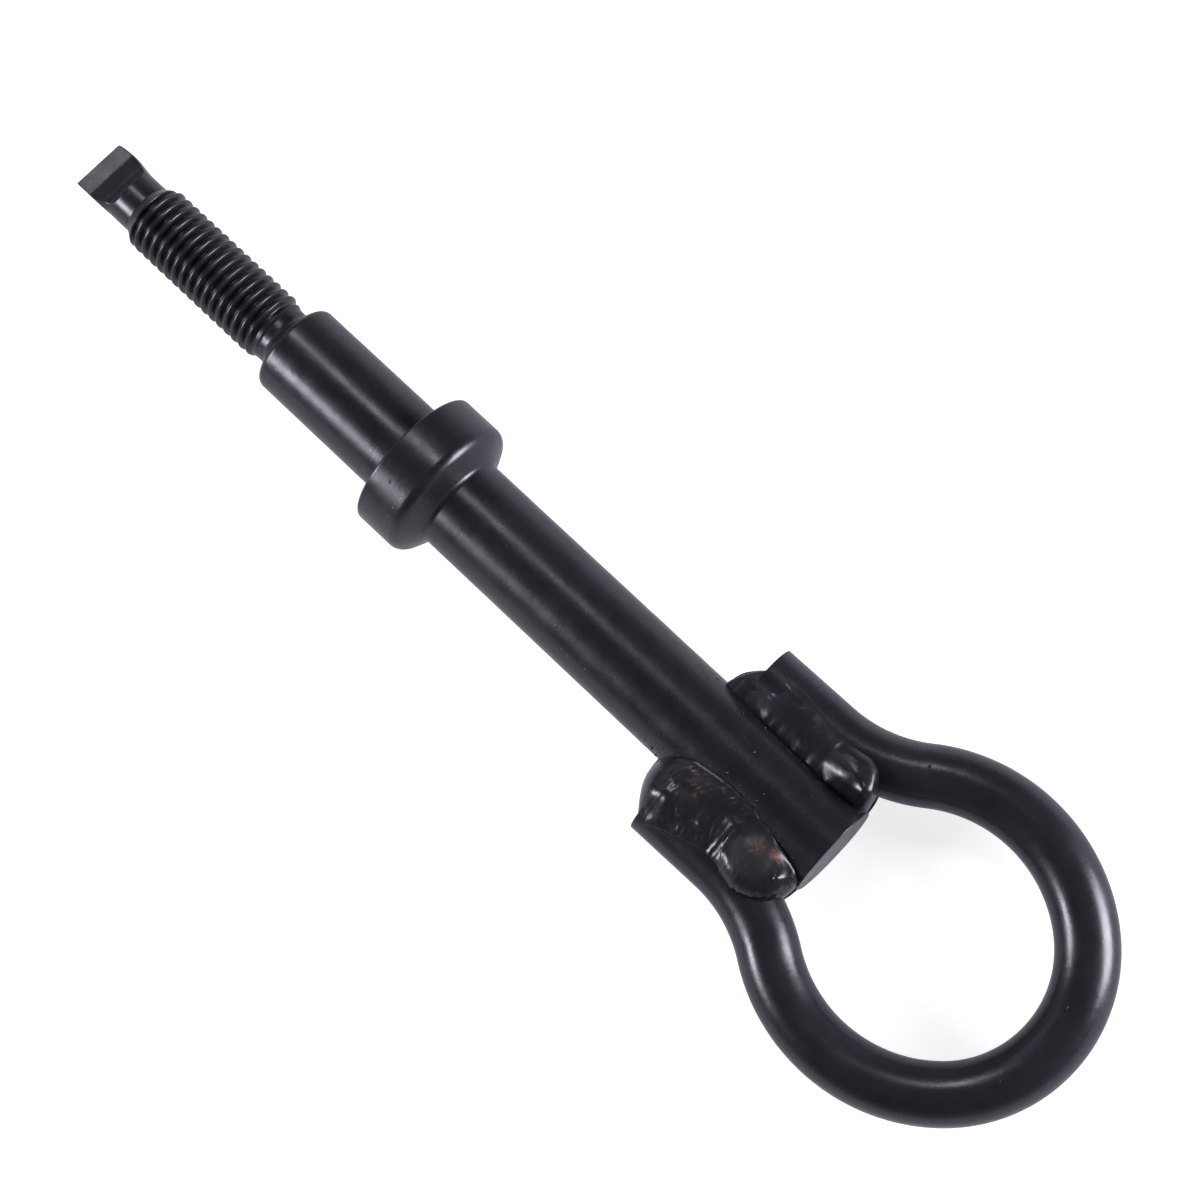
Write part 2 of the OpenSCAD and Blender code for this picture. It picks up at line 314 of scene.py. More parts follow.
def rusty_paint(name):
    """Paint on the welds: a painted bluish sheen at one start, dull on the end drop, with a brown film and
    rust.
    """
    # The welds' copy of the black paint is lightened by 1.4: painted light
    material, tree, shader, color, roughness = black_paint(name, 0.21, 0.33, 0.22, painted_light_gain=1.4)
    # A painted bluish-grey sheen at the start of the left top bead, standing in for a reflection of the
    # lamps, broken up by noise
    sheen_breakup = ramp(tree, noise_node(tree, 300, 3, seed_shift=0.7), 0.3, 0.6, 0.5, 1)
    painted_sheen = calc(tree, "MULTIPLY", spot(tree, (66.8, 10.8, 4.5), 6.5, 0.3), sheen_breakup)
    color = mix_color(tree, painted_sheen, color, (0.026, 0.026, 0.034))
    dull = spot(tree, (83.6, -8.8, 7.4), 5.0, 0.6)
    color = mix_color(tree, dull, color, (0.0150, 0.0160, 0.0158))
    roughness = calc(tree, "MAXIMUM", roughness, calc(tree, "MULTIPLY", dull, 0.40))
    patchy = ramp(tree, noise_node(tree, 420, 4, seed_shift=0.41), 0.42, 0.66, 0, 1)
    film = calc(tree, "MULTIPLY", spot(tree, (70.0, -7.2, 7.2), 4.2, 0.2), patchy)
    color = mix_color(tree, film, color, (0.034, 0.026, 0.021))
    streaks = ramp(tree, noise_node(tree, 2300, 4, 0.65, seed_shift=0.57), 0.45, 0.58, 0, 1)
    stains = [
        spot(tree, (83.6, -6.9, 7.6), 1.5, 0.1),
        spot(tree, (86.9, -6.4, 7.0), 1.3, 0.1),
        spot(tree, (71.0, -7.9, 7.4), 0.8, 0.0),
    ]
    stain = calc(tree, "MULTIPLY", strongest(tree, stains), streaks)
    color = mix_color(tree, stain, color, (0.120, 0.042, 0.018))
    broken = ramp(tree, streaks, 0.1, 0.7, 0.45, 1)
    deep = calc(tree, "MULTIPLY", spot(tree, (86.0, -6.3, 7.2), 1.15, 0.1), broken)
    color = mix_color(tree, deep, color, (0.170, 0.028, 0.014))
    roughness = calc(tree, "MAXIMUM", roughness, calc(tree, "MULTIPLY", strongest(tree, [stain, deep]), 0.65))
    tree.links.new(color, shader.inputs["Base Color"])
    tree.links.new(roughness, shader.inputs["Roughness"])
    return material


# Shank and bar wear the same black paint, each copy lightened by its own factor to paint in how lit it looks:
# painted light
shank_paint = black_paint("shank_paint", 0.25, 0.34, 0.35, shank_rough_zone, True, 1.15)[0]
bar_paint = black_paint("bar_paint", 0.24, 0.33, 0.45, painted_light_gain=1.4)[0]
bead_paint = rusty_paint("bead_paint")


# Turned shank

def arc(cx, cr, radius, a0, a1, steps):
    """Points of a round stretch of the shank's outline, as axial place and radius."""
    angles = np.radians(np.linspace(a0, a1, steps + 1))
    return [(cx + radius * math.cos(a), cr + radius * math.sin(a)) for a in angles]


def refined(points, longest):
    """The outline with every straight stretch cut into short ones, finer next to its ends."""
    out = [points[0]]
    for (x0, r0), (x1, r1) in zip(points, points[1:]):
        length = math.hypot(x1 - x0, r1 - r0)
        if length > 0.35 * MM:
            cuts = max(1, math.ceil(length / longest))
            shares = sorted({0.06 * MM / length, 1 - 0.06 * MM / length, *[i / cuts for i in range(1, cuts)]})
            out += [(mix(x0, x1, t), mix(r0, r1, t)) for t in shares]
        out.append((x1, r1))
    return out


def blade_outline():
    """Half outline of the pressed blank from the cut end to the start of the thread."""
    edge = 0.22 * MM
    end_r = BLADE_END_W / 2
    points = [(TIP_X, 0.0), (TIP_X, end_r - edge)] + arc(TIP_X + edge, end_r - edge, edge, 165, 90, 4)
    for t in np.linspace(0.15, 1, 10):
        x = mix(TIP_X, SWELL_X, t)
        points.append((x, mix(BLADE_END_W, BLADE_W, math.sin(math.pi / 2 * t)) / 2))
    for t in np.linspace(0.06, 1, 20):
        x = mix(SWELL_X, BLADE_END_X, t)
        points.append((x, mix(NECK_R * 2, BLADE_W, math.cos(math.pi / 2 * t) ** 2) / 2))
    points.append((THREAD_START_X + 0.3 * MM, NECK_R))
    return points


def blade_height(x):
    """Half thickness that milling leaves at a place along the blade."""
    if x <= SWELL_X:
        return BLADE_T / 2
    if x <= SCOOP_X:
        return BLADE_T / 2 + BLADE_RAMP_RISE * (x - SWELL_X) / BLADE_RAMP_LEN
    if x < BLADE_END_X:
        drop = SCOOP_R - math.sqrt(max(0.0, SCOOP_R**2 - (x - SCOOP_X) ** 2))
        return BLADE_T / 2 + BLADE_RAMP_RISE + drop
    return 1.0


def sleeve_outline():
    """Half outline from the thread's end over sleeve and collar to the shank's cut end."""
    slope = math.degrees(COLLAR_SLOPE)
    drop = COLLAR_R - COLLAR_EDGE_R - SHANK_R - COLLAR_FILLET_R
    reach = drop * math.cos(COLLAR_SLOPE) + COLLAR_EDGE_R + COLLAR_FILLET_R
    fillet_x = RIM_LEN + reach / math.sin(COLLAR_SLOPE)
    seat = 0.35 * MM
    end_edge = 0.2 * MM
    points = [(THREAD_END_X - 0.4 * MM, RELIEF_R)]
    points += arc(-SLEEVE_LEN - RELIEF_FILLET_R, RELIEF_R + RELIEF_FILLET_R, RELIEF_FILLET_R, 270, 350, 12)
    points += arc(-SLEEVE_LEN + SLEEVE_EDGE_R, SHANK_R - SLEEVE_EDGE_R, SLEEVE_EDGE_R, 180, 90, 10)
    points += arc(-seat, SHANK_R + seat, seat, 270, 352, 5)
    points += arc(COLLAR_BEVEL, COLLAR_R - COLLAR_BEVEL, COLLAR_BEVEL, 172, 90, 5)
    points += arc(RIM_LEN, COLLAR_R - COLLAR_EDGE_R, COLLAR_EDGE_R, 90, 90 - slope, 12)
    points += arc(fillet_x, SHANK_R + COLLAR_FILLET_R, COLLAR_FILLET_R, 270 - slope, 270, 10)
    points += arc(SHANK_END_X - end_edge, SHANK_R - end_edge, end_edge, 90, 8, 5)
    points += [(SHANK_END_X, 0.0)]
    return points


def blade_ring(x, radii, angles):
    """A ring of the blade's blank: set over to +Y, flats milled off, edges a little rounded."""
    fade = float(smooth((BLADE_END_X - x) / (4 * MM)))
    y = radii * np.cos(angles) + BLADE_SET * fade
    z = radii * np.sin(angles)
    lean = np.array((math.cos(BLADE_TURN), math.sin(BLADE_TURN)))
    across = y * lean[0] + z * lean[1]
    height = -y * lean[1] + z * lean[0]
    limit = blade_height(x)
    blunt = 0.12 * MM
    over = np.abs(height) - limit
    cut = limit + 0.5 * (over - np.sqrt(over**2 + blunt**2))
    height = np.sign(height) * np.maximum(cut, 0)
    # The tool that pressed the tip left it square on the -Y side, flush with the neck
    square = 0.25 * float(smooth((SCOOP_X + 1.5 * MM - x) / (4 * MM)))
    wall = (-NECK_R - 0.02 * MM + height * lean[1]) / lean[0]
    across = np.where(across < 0, np.maximum(across * (1 + square), wall), across)
    return across * lean[0] - height * lean[1], across * lean[1] + height * lean[0]


def shank_skin(x, angle):
    """Height of the slight unevenness of the turned surface under the paint."""
    if x < 0:
        return 0.012 * MM * noise.noise(Vector((x * 900, math.cos(angle) * 5, math.sin(angle) * 5)))
    place = Vector((x, SHANK_R * math.cos(angle), SHANK_R * math.sin(angle)))
    return 0.02 * MM * noise.noise(place * 260)


def lathe(points, around, flats=False, skin=False):
    """Vertices and faces of an outline turned about the X axis, with the blade's flats if asked."""
    angles = np.linspace(0, 2 * math.pi, around, endpoint=False)
    verts = []
    rings = [p for p in points if p[1] > 1e-9]
    for x, r in rings:
        radii = np.full(around, r)
        if skin and r < SHANK_R * 1.02 and x < SHANK_END_X - 0.1 * MM:
            radii = radii + np.array([shank_skin(x, a) for a in angles])
        y, z = blade_ring(x, radii, angles) if flats else (radii * np.cos(angles), radii * np.sin(angles))
        verts += [(x, float(a), float(b)) for a, b in zip(y, z)]
    faces = grid_faces(len(rings), around)
    for ring, point in ((0, points[0]), (len(rings) - 1, points[-1])):
        if point[1] <= 1e-9:
            centre = len(verts)
            verts.append((point[0], 0.0, 0.0))
            first = ring * around
            loop = [(first + j, first + (j + 1) % around) for j in range(around)]
            faces += [(centre, b, a) if ring == 0 else (centre, a, b) for a, b in loop]
    return verts, faces


def mesh_from(name, parts):
    """One mesh from several lists of vertices and faces."""
    verts = []
    faces = []
    for part_verts, part_faces in parts:
        faces += [tuple(i + len(verts) for i in f) for f in part_faces]
        verts += part_verts
    mesh = bpy.data.meshes.new(name)
    mesh.from_pydata([tuple(v) for v in verts], [], faces)
    mesh.update()
    return mesh


# Geometry Nodes helpers

class Tree:
    """A small builder for a Geometry Nodes tree with named inputs."""

    def __init__(self, name):
        self.group = bpy.data.node_groups.new(name, "GeometryNodeTree")
        self.nodes = self.group.nodes
        self.links = self.group.links
        self.given = self.nodes.new("NodeGroupInput")
        self.out = self.nodes.new("NodeGroupOutput")
        self.group.interface.new_socket("Geometry", in_out="INPUT", socket_type="NodeSocketGeometry")
        self.group.interface.new_socket("Geometry", in_out="OUTPUT", socket_type="NodeSocketGeometry")

    def input(self, name, kind, value=None):
        socket = self.group.interface.new_socket(name, in_out="INPUT", socket_type=kind)
        if value is not None:
            socket.default_value = value
        return self.given.outputs[name]

    def node(self, kind, **inputs):
        node = self.nodes.new(kind)
        for key, value in inputs.items():
            self.feed(node.inputs[key.replace("_", " ")], value)
        return node

    def feed(self, socket, value):
        if isinstance(value, bpy.types.NodeSocket):
            self.links.new(value, socket)
        else:
            socket.default_value = value

    def math(self, operation, *values):
        node = self.nodes.new("ShaderNodeMath")
        node.operation = operation
        for socket, value in zip(node.inputs, values):
            self.feed(socket, value)
        return node.outputs[0]

    def ease(self, value, low, high, out_low=0.0, out_high=1.0):
        node = self.node("ShaderNodeMapRange", Value=value)
        node.interpolation_type = "SMOOTHSTEP"
        for key, given in (("From Min", low), ("From Max", high), ("To Min", out_low), ("To Max", out_high)):
            self.feed(node.inputs[key], given)
        return node.outputs["Result"]

    def finish(self, geometry, material):
        realize = self.node("GeometryNodeRealizeInstances", Geometry=geometry)
        painted = self.node("GeometryNodeSetMaterial", Geometry=realize.outputs[0], Material=material)
        self.links.new(painted.outputs[0], self.out.inputs[0])


def baked(tree, source, values, name):
    """The mesh that a tree makes from a source object, with its named inputs set first."""
    bpy.context.scene.collection.objects.link(source)
    modifier = source.modifiers.new(name, "NODES")
    modifier.node_group = tree.group
    for item in tree.group.interface.items_tree:
        if item.in_out == "INPUT" and item.name in values:
            modifier[item.identifier] = values[item.name]
    graph = bpy.context.evaluated_depsgraph_get()
    mesh = bpy.data.meshes.new_from_object(source.evaluated_get(graph))
    mesh.name = name
    source.modifiers.remove(modifier)
    bpy.data.objects.remove(source)
    return mesh


def thread_tree():
    """A grid rolled into a rod, with a right-hand ridge winding along it."""
    t = Tree("wound_thread")
    crest = t.input("Crest radius", "NodeSocketFloat", THREAD_R)
    depth = t.input("Depth", "NodeSocketFloat", THREAD_DEPTH)
    pitch = t.input("Pitch", "NodeSocketFloat", THREAD_PITCH)
    start = t.input("Start", "NodeSocketFloat", THREAD_START_X)
    end = t.input("End", "NodeSocketFloat", THREAD_END_X)
    lead = t.input("Lead", "NodeSocketFloat", THREAD_LEAD)
    neck = t.input("Neck radius", "NodeSocketFloat", NECK_R)
    relief = t.input("Relief radius", "NodeSocketFloat", RELIEF_R)
    run_out = t.input("Run out", "NodeSocketFloat", THREAD_RUN_OUT)
    along = t.input("Stations", "NodeSocketInt", 316)
    around = t.input("Around", "NodeSocketInt", 113)
    grid = t.node("GeometryNodeMeshGrid", Vertices_X=along, Vertices_Y=around)
    grid.inputs["Size X"].default_value = 1.0
    grid.inputs["Size Y"].default_value = 1.0
    place = t.node("ShaderNodeSeparateXYZ", Vector=t.nodes.new("GeometryNodeInputPosition").outputs[0])
    share = t.math("ADD", place.outputs[0], 0.5)
    turn = t.math("ADD", place.outputs[1], 0.5)
    reach = t.math("ADD", t.math("SUBTRACT", end, start), t.math("MULTIPLY", pitch, 0.5))
    x = t.math("ADD", start, t.math("MULTIPLY", share, reach))
    angle = t.math("MULTIPLY", turn, 2 * math.pi)
    wave = t.math("FRACT", t.math("SUBTRACT", t.math("DIVIDE", x, pitch), turn))
    saw = t.math("ABSOLUTE", t.math("SUBTRACT", t.math("MULTIPLY", wave, 2.0), 1.0))
    ridge = t.ease(saw, 0.08, 0.88)
    # The ridge dies out over the last turn, where the root rises to the relief
    last = t.math("ADD", end, t.math("MULTIPLY", pitch, 0.5))
    dying = t.ease(x, t.math("SUBTRACT", last, t.math("MULTIPLY", run_out, 1.4)), last)
    root = t.math("SUBTRACT", crest, depth)
    root = t.math("ADD", root, t.math("MULTIPLY", dying, t.math("SUBTRACT", relief, root)))
    height = t.math("MULTIPLY", depth, t.math("SUBTRACT", 1.0, dying))
    radius = t.math("ADD", root, t.math("MULTIPLY", ridge, height))
    climbed = t.math("DIVIDE", t.math("SUBTRACT", x, start), lead)
    cone = t.math("ADD", neck, t.math("MULTIPLY", climbed, t.math("SUBTRACT", crest, neck)))
    radius = t.math("SMOOTH_MIN", radius, cone, 0.0002)
    y = t.math("MULTIPLY", radius, t.math("COSINE", angle))
    z = t.math("MULTIPLY", radius, t.math("SINE", angle))
    rolled = t.node("ShaderNodeCombineXYZ", X=x, Y=y, Z=z)
    moved = t.node("GeometryNodeSetPosition", Geometry=grid.outputs["Mesh"], Position=rolled.outputs[0])
    sewn = t.node("GeometryNodeMergeByDistance", Geometry=moved.outputs[0], Distance=1e-6)
    t.finish(sewn.outputs[0], shank_paint)
    return t


def mesh_parts(mesh):
    """Vertices and faces of a shell round the X axis, with both open ends closed on the axis."""
    verts = [tuple(v.co) for v in mesh.vertices]
    faces = [tuple(p.vertices) for p in mesh.polygons]
    edges = {(f[i - 1], f[i]) for f in faces for i in range(len(f))}
    rims = sorted((a, b) for a, b in edges if (b, a) not in edges)
    middle = (min(v[0] for v in verts) + max(v[0] for v in verts)) / 2
    for first in (True, False):
        rim = [(a, b) for a, b in rims if (verts[a][0] < middle) == first]
        centre = len(verts)
        verts.append((verts[rim[0][0]][0], 0.0, 0.0))
        faces += [(b, a, centre) for a, b in rim]
    return verts, faces


def build_shank():
    source = bpy.data.objects.new("thread_source", bpy.data.meshes.new("thread_source"))
    thread = baked(thread_tree(), source, {}, "thread")
    # Both turned ends are closed on the axis, inside the thread
    tip_line = refined(blade_outline(), 0.33 * MM)
    sleeve_line = refined(sleeve_outline(), 0.62 * MM)
    blade = lathe(tip_line + [(tip_line[-1][0], 0.0)], 190, flats=True)
    sleeve = lathe([(sleeve_line[0][0], 0.0)] + sleeve_line, 172, skin=True)
    mesh = mesh_from("shank", [blade, sleeve, mesh_parts(thread)])
    return finish_piece(mesh, "shank", shank_paint, ["threaded_shank"])


# Bent eye

def eye_side_points(step):
    """Centre line on the +Y side, from the far end to the cut end of the leg."""
    far_cx = EYE_FAR_X - FAR_BEND_R
    side_cx = far_cx + (FAR_BEND_R - SIDE_BEND_R) * math.cos(FAR_BEND_HALF)
    side_cy = (FAR_BEND_R - SIDE_BEND_R) * math.sin(FAR_BEND_HALF)
    neck = math.acos((LEG_Y + NECK_BEND_R - side_cy) / (SIDE_BEND_R + NECK_BEND_R))
    neck_cx = side_cx - (SIDE_BEND_R + NECK_BEND_R) * math.sin(neck)
    neck_cy = LEG_Y + NECK_BEND_R
    bends = [
        (far_cx, 0, FAR_BEND_R, 0, FAR_BEND_HALF),
        (side_cx, side_cy, SIDE_BEND_R, FAR_BEND_HALF, math.pi / 2 + neck),
        (neck_cx, neck_cy, NECK_BEND_R, 1.5 * math.pi + neck, 1.5 * math.pi),
    ]
    points = []
    for cx, cy, r, a0, a1 in bends:
        cuts = math.ceil(abs(a1 - a0) * r / step)
        turns = [mix(a0, a1, i / cuts) for i in range(cuts)]
        points += [(cx + r * math.cos(a), cy + r * math.sin(a)) for a in turns]
    cuts = math.ceil((neck_cx - BAR_END_X) / step)
    points += [(mix(neck_cx, BAR_END_X, i / cuts), LEG_Y) for i in range(cuts + 1)]
    return points, neck_cx, neck_cy


def eye_points(step=0.7 * MM):
    """The whole centre line from one cut end to the other, turned as the real eye is."""
    side, _, _ = eye_side_points(step)
    line = [(x, y) for x, y in reversed(side)] + [(x, -y) for x, y in side[1:]]
    c, s = math.cos(EYE_TURN), math.sin(EYE_TURN)
    return [(BAR_END_X + (x - BAR_END_X) * c - y * s, (x - BAR_END_X) * s + y * c - EYE_SET) for x, y in line]


def bar_tree():
    """Round bar swept along the centre line, with the small unevenness of hot-rolled stock."""
    t = Tree("bent_bar")
    radius = t.input("Bar radius", "NodeSocketFloat", BAR_R)
    around = t.input("Around", "NodeSocketInt", 72)
    uneven = t.input("Unevenness", "NodeSocketFloat", 0.00004)
    ring = t.node("GeometryNodeCurvePrimitiveCircle", Resolution=around, Radius=radius)
    swept = t.node("GeometryNodeCurveToMesh", Curve=t.given.outputs["Geometry"])
    t.feed(swept.inputs["Profile Curve"], ring.outputs["Curve"])
    swept.inputs["Fill Caps"].default_value = True
    wobble = t.node("ShaderNodeTexNoise", Scale=70.0, Detail=2.0)
    lift = t.math("MULTIPLY", t.math("SUBTRACT", wobble.outputs[0], 0.5), uneven)
    normal = t.nodes.new("GeometryNodeInputNormal")
    shift = t.nodes.new("ShaderNodeVectorMath")
    shift.operation = "SCALE"
    t.links.new(normal.outputs[0], shift.inputs[0])
    t.links.new(lift, shift.inputs["Scale"])
    moved = t.node("GeometryNodeSetPosition", Geometry=swept.outputs[0], Offset=shift.outputs[0])
    t.finish(moved.outputs[0], bar_paint)
    return t


def build_eye():
    points = eye_points()
    curve = bpy.data.curves.new("eye_line", "CURVE")
    curve.dimensions = "3D"
    spline = curve.splines.new("POLY")
    spline.points.add(len(points) - 1)
    edge = 0.35 * MM
    reach = np.concatenate([[0], np.cumsum([math.dist(a, b) for a, b in zip(points, points[1:])])])
    for i, (x, y) in enumerate(points):
        spline.points[i].co = (x, y, 0, 1)
        from_end = min(reach[i], reach[-1] - reach[i])
        spline.points[i].radius = 1 - 0.05 * max(0.0, 1 - from_end / edge)
    source = bpy.data.objects.new("eye_line", curve)
    mesh = baked(bar_tree(), source, {}, "eye")
    return finish_piece(mesh, "eye", bar_paint, ["eye_loop"])


# Welds

def dome(x, y, cx, cy, rx, ry, power=2.0):
    """Height from 0 to 1 of a shallow drop of weld metal with an oval foot."""
    return max(0.0, 1 - math.hypot((x - cx) / rx, (y - cy) / ry) ** power)


def hump(x, y, cx, cy, rx, ry):
    """Height from 0 to 1 of a soft rise with no edge."""
    return math.exp(-(((x - cx) / rx) ** 2) - ((y - cy) / ry) ** 2)


def along(x, points):
    """A bead's edge at a place along X, from a few points and rounded between them."""
    xs, ys = zip(*points)
    return float(np.mean(np.interp([x - 1.2, x - 0.4, x + 0.4, x + 1.2], xs, ys)))


def smooth_max(a, b, reach):
    """The higher of two surfaces, blended where they're closer than a reach."""
    near = max(0.0, reach - abs(a - b)) / reach
    return max(a, b) + near * near * reach / 4


def round_foot(distance, reach, power):
    """Share of its full height that a drop has at a distance from its foot."""
    t = min(1.0, max(0.0, distance) / reach)
    return (t * (2 - t)) ** power


# The values of each bead, in mm:
# ripple, ripple_pitch: height and spacing of the ripples; grain: share of small lumps
# start_lean, start_bend: how far and how sharply the start leans back along the leg
# nose, tail: lengths over which the ends round down; front: height share of a blunt start
# flank: how gently the inner side rises; inner_foot, outer_foot: reach and power of a drop's foot
# end_lean: how far the end leans back; lip: fine rim along the inner toe; ragged: uneven outer toe

class RightTopBead:
    """The weld at the lower left of the photo, with its fat start and its round, rusty end drop."""

    seed = 2
    ripple = 0.020
    ripple_pitch = 1.15
    grain = 0.7
    start_lean = 4.4
    start_bend = 2.2
    inner_foot = (1.5, 0.6)
    outer_foot = (2.4, 0.5)
    flank = 0.8
    nose = 3.0
    front = 0.0
    tail = 1.8
    ragged = 0.22
    end_lean = 0.8
    lip = 0.03
    inner_edge = (
        (61, 9.5), (62.4, 7.9), (63.9, 6.0), (66, 4.7), (67.8, 3.9), (70.8, 3.3),
        (73.9, 3.0), (77.4, 3.1), (81.3, 3.7), (88.3, 5.4), (92, 6.4),
    )
    outer_edge = (
        (65, 17.4), (67.4, 17.1), (69.4, 15.9), (71.5, 15.2), (75, 14.1),
        (79.2, 13.1), (82, 14.3), (85, 14.8), (88, 13.6), (92, 11.2),
    )

    def crown(self, x, y):
        rise = 1.15 + 1.2 * hump(x, y, 67.6, 11.4, 3.2, 2.7) - 0.4 * hump(x, y, 76.8, 12.0, 3.2, 2.4)
        rise += 0.30 * hump(x, y, 71.0, 11.5, 0.75, 0.55) + 0.34 * hump(x, y, 74.8, 10.9, 0.8, 0.6)
        rise += 0.16 * hump(x, y, 68.9, 13.9, 0.7, 0.6) + 0.22 * hump(x, y, 71.4, 7.6, 2.6, 1.1)
        rise += 0.35 * hump(x, y, 79.4, 6.9, 2.4, 0.9) + 0.5 * hump(x, y, 82.0, 13.0, 1.8, 0.9)
        rise += 0.75 * hump(x, y, 88.7, 8.7, 0.8, 0.9) - 0.75 * hump(x, y, 90.6, 9.9, 0.9, 1.2)
        rise += 0.3 * hump(x, y, 90.6, 7.0, 0.6, 0.5)
        return rise

    def drop(self, x, y):
        height = dome(x, y, 84.6, 9.0, 5.4, 5.6)
        return 6.4 + 1.5 * height - 0.10 * (x - 84.6) if height > 0 else None


class LeftTopBead:
    """The weld at the upper right of the photo: flat and finely rippled, with a long end drop."""

    seed = 1
    ripple = 0.006
    ripple_pitch = 0.62
    grain = 0.45
    start_lean = 5.0
    start_bend = 1.7
    inner_foot = (2.6, 0.9)
    outer_foot = (1.3, 0.5)
    flank = 1.25
    nose = 0.8
    front = 0.6
    tail = 0.7
    ragged = 0.0
    end_lean = 0.8
    lip = 0.02
    inner_edge = (
        (61, 7.7), (62.5, 7.5), (66.1, 7.2), (69, 7.0),
        (74, 6.9), (83.5, 6.7), (87, 6.8), (92, 7.2),
    )
    outer_edge = (
        (67.4, 14.9), (72.8, 14.7), (77.2, 14.1), (81.2, 13.4), (83.6, 13.7),
        (86.4, 14.4), (88.3, 14.2), (89.6, 12.9), (90.6, 11.0), (92, 9.6),
    )

    def crown(self, x, y):
        rise = 0.65 - 0.17 * max(0.0, 70.5 - x) + 0.22 * hump(x, y, 71.0, 13.7, 2.6, 0.5)
        rise += 0.16 * hump(x, y, 69.0, 10.9, 0.7, 0.5)
        return rise

    def drop(self, x, y):
        height = dome(x, y, 86.6, 11.1, 6.3, 4.3, 1.5)
        end = 0.8 * hump(x, y, 89.5, 9.8, 1.3, 1.4) + 0.2 * hump(x, y, 90.6, 8.6, 0.5, 0.5)
        return 4.9 + 2.1 * height + 0.03 * (x - 86) + end if height > 0 else None


class UnderBead:
    """A plain rippled weld for the side that the photo doesn't show."""

    ripple = 0.04
    ripple_pitch = 1.15
    grain = 1.0
    start_lean = 5.0
    start_bend = 2.2
    inner_foot = (1.3, 0.5)
    outer_foot = (2.4, 0.5)
    flank = 0.75
    nose = 2.8
    front = 0.0
    tail = 1.8
    ragged = 0.1
    end_lean = 2.0
    lip = 0.05
    inner_edge = ((61, 8.6), (62.5, 7.9), (66, 6.2), (70, 5.4), (80, 5.3), (92, 5.8))
    outer_edge = ((66, 15.2), (72, 14.6), (80, 14.2), (86, 14.6), (92, 13.2))

    def __init__(self, seed):
        self.seed = seed

    def crown(self, x, y):
        return 1.1 + 0.5 * hump(x, y, 66.5, 11.2, 3.4, 3.0)

    def drop(self, x, y):
        height = dome(x, y, 86.0, 10.2, 5.2, 4.2)
        return 5.6 + 1.5 * height if height > 0 else None


def leg_shape(x, side):
    """Place of a leg's axis beside the shank and how far from it the bar is, at a place along X."""
    _, neck_cx, neck_cy = eye_side_points(5 * MM)
    y = LEG_Y
    if x > neck_cx:
        y = neck_cy - math.sqrt(max(NECK_BEND_R**2 - (x - neck_cx) ** 2, 0))
    return y + side * ((x - BAR_END_X) * math.sin(EYE_TURN) - EYE_SET)


